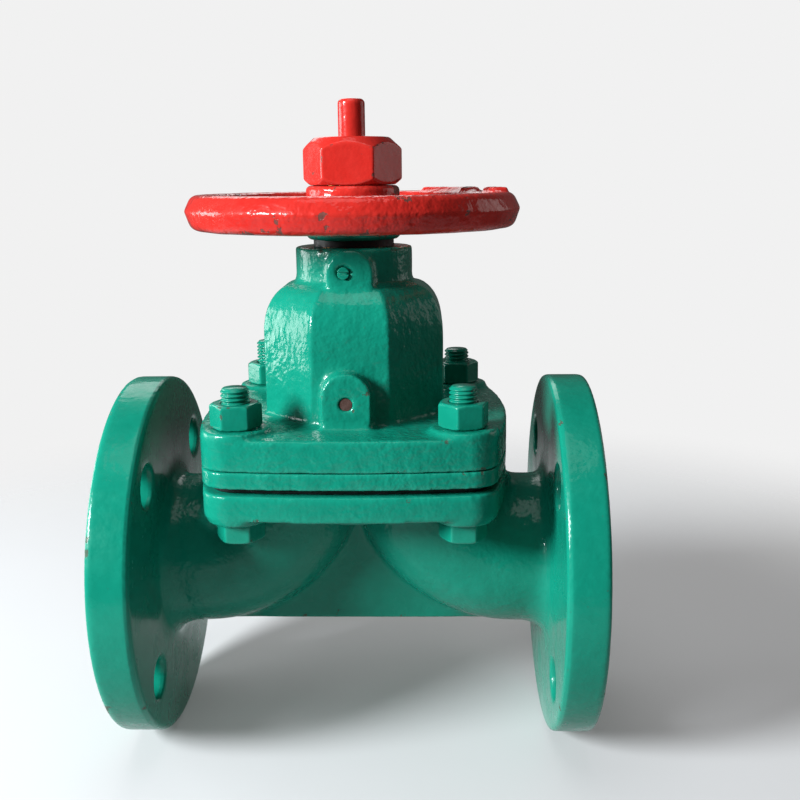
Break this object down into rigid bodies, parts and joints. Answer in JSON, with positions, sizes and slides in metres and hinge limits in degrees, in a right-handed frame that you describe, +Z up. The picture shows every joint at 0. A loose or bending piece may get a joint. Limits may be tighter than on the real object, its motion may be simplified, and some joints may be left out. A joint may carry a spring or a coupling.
{
  "type": "diaphragm valve",
  "caption": "Flanged weir-type diaphragm valve with a rubber-lined cast body, octagonal bonnet, rising stem and round handwheel.",
  "frame": {"origin": "where the flow axis crosses the stem axis, midway between the two flange faces", "axes": "+X along the flow axis towards the outlet flange, +Z up the stem, -Y towards the side with the arched lug and plug"},
  "size_m": [0.214, 0.165, 0.2882],
  "materials": {
    "green_casting": "glossy enamel over a rough sand casting",
    "green_fasteners": "glossy enamel",
    "red_enamel": "glossy enamel with chips",
    "rubber_lining": "smooth moulded",
    "rubber_diaphragm": "smooth moulded",
    "black_ring": "oily",
    "iron_primed": "primed casting",
    "primed_plug": "dull primer",
    "bright_steel": "turned",
    "bronze": "machined"
  },
  "bodies": {
    "casing": {"body": "green_casting", "body_lining": "rubber_lining", "diaphragm": "rubber_diaphragm", "support_plate": "green_casting", "bonnet": "green_casting", "bonnet_bush": "bronze", "lower_thrust_washer": "bronze", "upper_thrust_ring": "black_ring", "bonnet_bolts": "green_fasteners", "bonnet_nuts": "green_fasteners", "collar_set_screw": "green_fasteners", "tell_tale_plug": "primed_plug"},
    "drive": {"stem_nut": "bronze", "grease_seal": "rubber_diaphragm", "wheel_spacer": "green_fasteners", "handwheel": "red_enamel", "handwheel_nut": "red_enamel", "wheel_key": "bright_steel"},
    "lift": {"stem": "red_enamel", "compressor": "iron_primed", "compressor_pin": "bright_steel", "diaphragm_stud": "bright_steel"}
  },
  "joints": [
    {"name": "handwheel_spin", "type": "hinge", "parent": "casing", "child": "drive", "pos_m": [0, 0, 0.158], "axis": [0, 0, 1], "range_deg": [-1440, 0]},
    {"name": "stem_lift", "type": "slide", "parent": "casing", "child": "lift", "axis": [0, 0, 1], "range_m": [-0.016, 0], "deforming": ["diaphragm"]}
  ],
  "couplings": [
    {"joint": "stem_lift", "follows": "handwheel_spin", "m_per_rad": 0.0006366}
  ]
}
